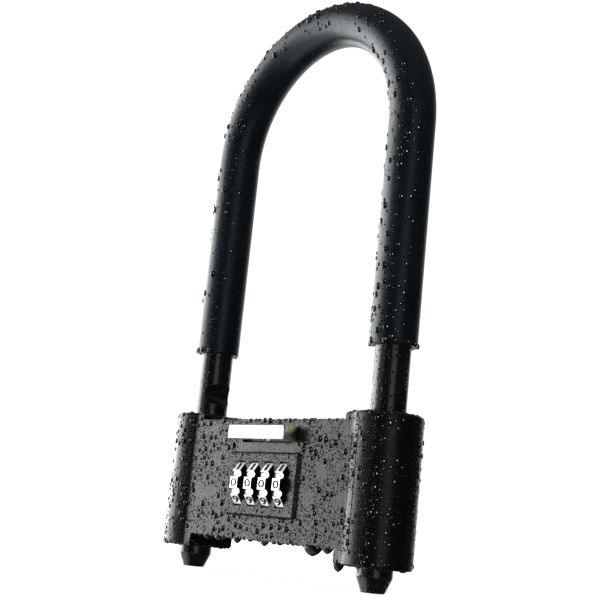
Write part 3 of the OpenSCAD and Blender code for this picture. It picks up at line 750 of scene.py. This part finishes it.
def hanging_drop(name, body, x, y, z, width, drop, material):
    """A round-bottomed drop under an edge: widest at the edge, and narrowing down like a bell."""
    segments, rings = 20, 12
    points = [(x, y, z + 0.3 * drop)]
    for ring in range(1, rings):
        fall = (1 - math.cos(math.pi * ring / rings)) / 2
        radius = width / 2 * min(1, 5 * fall) * (1 - fall ** 2) ** 0.7
        height = z + 0.3 * drop - 1.3 * drop * fall
        for i in range(segments):
            turn = 2 * math.pi * i / segments
            points.append((x + radius * math.cos(turn), y + 0.6 * radius * math.sin(turn), height))
    points.append((x, y, z - drop))
    last = len(points) - 1
    faces = [[0, 1 + (i + 1) % segments, 1 + i] for i in range(segments)]
    for ring in range(rings - 2):
        base = 1 + ring * segments
        for i in range(segments):
            j = (i + 1) % segments
            faces.append([base + i, base + j, base + segments + j, base + segments + i])
    base = last - segments
    faces += [[base + i, base + (i + 1) % segments, last] for i in range(segments)]
    piece = new_piece(name, points, [face[::-1] for face in faces], material, body)
    piece.data.polygons.foreach_set("use_smooth", [True] * len(faces))


# Drops under the front cover: place along the edge, width and how far they hang, in millimetres
COVER_DROPS = [(-33, 4.4, 1.6), (-25, 5.2, 1.8), (-13, 5.0, 2.0),
               (4, 4.8, 1.9), (32, 10, 3.4), (40, 5.6, 2.0)]

add_edge_beads()
for number, (x, width, drop) in enumerate(COVER_DROPS, 1):
    hanging_drop("cover_drop_%d" % number, body_of("front_cover"), x * MM, COVER_FACE_Y + 0.7 * MM,
                 COVER_LOW.z, width * MM, drop * MM, BEAD_WATER)
hanging_drop("housing_drop", body_of("right_end_housing"), HOUSING_LOW.x + 2 * MM, COVER_FACE_Y + 1.2 * MM,
             HOUSING_LOW.z, 5.6 * MM, 2.6 * MM, BEAD_WATER)
hanging_drop("bar_drop", body_of("slide_bar"), BAR_HIGH.x * 0.35, BAR_LOW.y + 1.3 * MM, BAR_LOW.z,
             3.4 * MM, 0.8 * MM, CLEAR_WATER)


# ---- Stage ----

HEADING = math.radians(49.3)
PITCH = math.radians(11.4)
ROLL = math.radians(5.85)
CAMERA_AT = Vector((350.9, -303.5, 19.3)) * MM + Vector((0, LEG_Y, 0))
LENS = 68.35

FORWARD = Vector((-math.sin(HEADING), math.cos(HEADING), 0))
RIGHT = Vector((math.cos(HEADING), math.sin(HEADING), 0))


def compass(angle, elevation=0.0):
    """Direction at an angle in degrees: 0 towards the camera, 90 to its right, then up by the elevation."""
    turn, rise = math.radians(angle), math.radians(elevation)
    level = RIGHT * math.sin(turn) - FORWARD * math.cos(turn)
    return level * math.cos(rise) + Vector((0, 0, math.sin(rise)))


# Lights round the object: angle and half width in degrees, the width of the soft edge, and brightness
SOFTBOX = (-126, 20, 26, 6.0)
SOFTBOX_SPILL = (-70, 6, 16, 0.3)
FRONT_FILL = (10, 5, 14, 0.6)
BACKDROP = (180, 18, 40, 1.1)
DARK_ROOM = 0.012
ZENITH_LIGHT = 0.1
# The floor as the object mirrors it: lit beside the softbox, dark elsewhere
LIT_FLOOR = (-105, 25, 25, 1.1)
DARK_FLOOR = 0.02
# Brightness of the backdrop and the far floor to the camera
WHITE = 1.1


def studio_world():
    """White to the camera; to everything else, the light and dark sides of the studio."""
    world = bpy.data.worlds.new("studio")
    bpy.context.scene.world = world
    world.use_nodes = True
    nodes, links = world.node_tree.nodes, world.node_tree.links
    nodes.clear()

    def fill(socket, value):
        if isinstance(value, (int, float)):
            socket.default_value = value
        else:
            links.new(value, socket)

    def compute(operation, *values):
        node = nodes.new("ShaderNodeMath")
        node.operation = operation
        for socket, value in zip(node.inputs, values):
            fill(socket, value)
        return node.outputs[0]

    def along(vector, axis):
        node = nodes.new("ShaderNodeVectorMath")
        node.operation = "DOT_PRODUCT"
        links.new(vector, node.inputs[0])
        node.inputs[1].default_value = axis
        return node.outputs["Value"]

    def ramp(value, start, end, from_light, to_light):
        node = nodes.new("ShaderNodeMapRange")
        node.interpolation_type = "SMOOTHSTEP"
        for socket, given in zip(node.inputs, (value, start, end, from_light, to_light)):
            fill(socket, given)
        return node.outputs["Result"]

    def cosine(degrees):
        return math.cos(math.radians(degrees))

    direction = nodes.new("ShaderNodeTexCoord").outputs["Generated"]
    level = nodes.new("ShaderNodeVectorMath")
    level.operation = "MULTIPLY"
    links.new(direction, level.inputs[0])
    level.inputs[1].default_value = (1, 1, 0)
    flat = nodes.new("ShaderNodeVectorMath")
    flat.operation = "NORMALIZE"
    links.new(level.outputs[0], flat.inputs[0])

    def zone(angle, half_width, edge, light):
        closeness = along(flat.outputs[0], compass(angle))
        return ramp(closeness, cosine(half_width + edge), cosine(half_width), 0.0, light)

    around = DARK_ROOM
    for light in (SOFTBOX, SOFTBOX_SPILL, FRONT_FILL, BACKDROP):
        around = compute("ADD", around, zone(*light))
    height = along(direction, Vector((0, 0, 1)))
    above = ramp(height, math.sin(math.radians(10)), math.sin(math.radians(45)), around, ZENITH_LIGHT)
    below = compute("ADD", zone(*LIT_FLOOR), DARK_FLOOR)
    studio = ramp(height, math.sin(math.radians(-25)), math.sin(math.radians(-12)), below, above)

    seen = nodes.new("ShaderNodeMix")
    links.new(nodes.new("ShaderNodeLightPath").outputs["Is Camera Ray"], seen.inputs["Factor"])
    links.new(studio, seen.inputs["A"])
    seen.inputs["B"].default_value = WHITE
    background = nodes.new("ShaderNodeBackground")
    background.inputs["Color"].default_value = (1, 1, 1, 1)
    links.new(seen.outputs["Result"], background.inputs["Strength"])
    links.new(background.outputs[0], nodes.new("ShaderNodeOutputWorld").inputs["Surface"])


def floor():
    """Wide white floor under the tips. It glows more with distance, and meets the backdrop unseen."""
    size = 4.0
    mesh = bpy.data.meshes.new("floor")
    corners = [(-size, -size, 0), (size, -size, 0), (size, size, 0), (-size, size, 0)]
    mesh.from_pydata(corners, [], [(0, 1, 2, 3)])
    material, shader = new_material("floor_white")
    shader.inputs["Base Color"].default_value = (0.2, 0.2, 0.2, 1)
    shader.inputs["Roughness"].default_value = 0.9
    shader.inputs["Specular IOR Level"].default_value = 0
    shader.inputs["Emission Color"].default_value = (1, 1, 1, 1)
    distance = add_node(material, "ShaderNodeVectorMath", operation="LENGTH")
    link(material, place(material), distance.inputs[0])
    link(material, spread(material, distance.outputs["Value"], 0.06, 0.16, 0.93, WHITE),
         shader.inputs["Emission Strength"])
    mesh.materials.append(material)
    plane = bpy.data.objects.new("floor", mesh)
    plane.visible_glossy = False
    bpy.context.scene.collection.objects.link(plane)
    plane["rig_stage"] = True


def overhead_light():
    """Soft light from above that whitens the floor and gives the contact shadows."""
    lamp = bpy.data.lights.new("overhead", "AREA")
    lamp.size = 1.6
    lamp.energy = 60
    light = bpy.data.objects.new("overhead", lamp)
    light.location = (-0.2, 0.1, 1.4)
    light.visible_glossy = False
    light.visible_transmission = False
    light.visible_camera = False
    bpy.context.scene.collection.objects.link(light)


def sparkle_light():
    """Round lamp beside the camera that lights only the water, for the highlight on each bead."""
    lamp = bpy.data.lights.new("sparkle", "AREA")
    lamp.shape = "DISK"
    lamp.size = 0.5
    lamp.energy = 30
    light = bpy.data.objects.new("sparkle", lamp)
    towards = compass(2, 22)
    light.location = middle("dial_bezel") + towards * 1.4
    light.rotation_mode = "QUATERNION"
    light.rotation_quaternion = towards.to_track_quat("Z", "Y")
    light.visible_camera = False
    bpy.context.scene.collection.objects.link(light)
    water = bpy.data.collections.new("water")
    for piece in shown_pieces():
        if piece.type == "MESH" and set(piece.data.materials) & {BEAD_WATER, CLEAR_WATER}:
            water.objects.link(piece)
    light.light_linking.receiver_collection = water


def camera():
    forward = FORWARD * math.cos(PITCH) + Vector((0, 0, math.sin(PITCH)))
    up = RIGHT.cross(forward)
    right = RIGHT * math.cos(ROLL) + up * math.sin(ROLL)
    up = up * math.cos(ROLL) - RIGHT * math.sin(ROLL)
    lens = bpy.data.cameras.new("camera")
    lens.sensor_width = 36
    lens.lens = LENS
    lens.clip_start = 0.02
    view = bpy.data.objects.new("camera", lens)
    view.matrix_world = Matrix.Translation(CAMERA_AT) @ Matrix((right, up, -forward)).transposed().to_4x4()
    bpy.context.scene.collection.objects.link(view)
    bpy.context.scene.camera = view


studio_world()
floor()
overhead_light()
sparkle_light()
camera()
bpy.context.scene.view_settings.view_transform = "Standard"
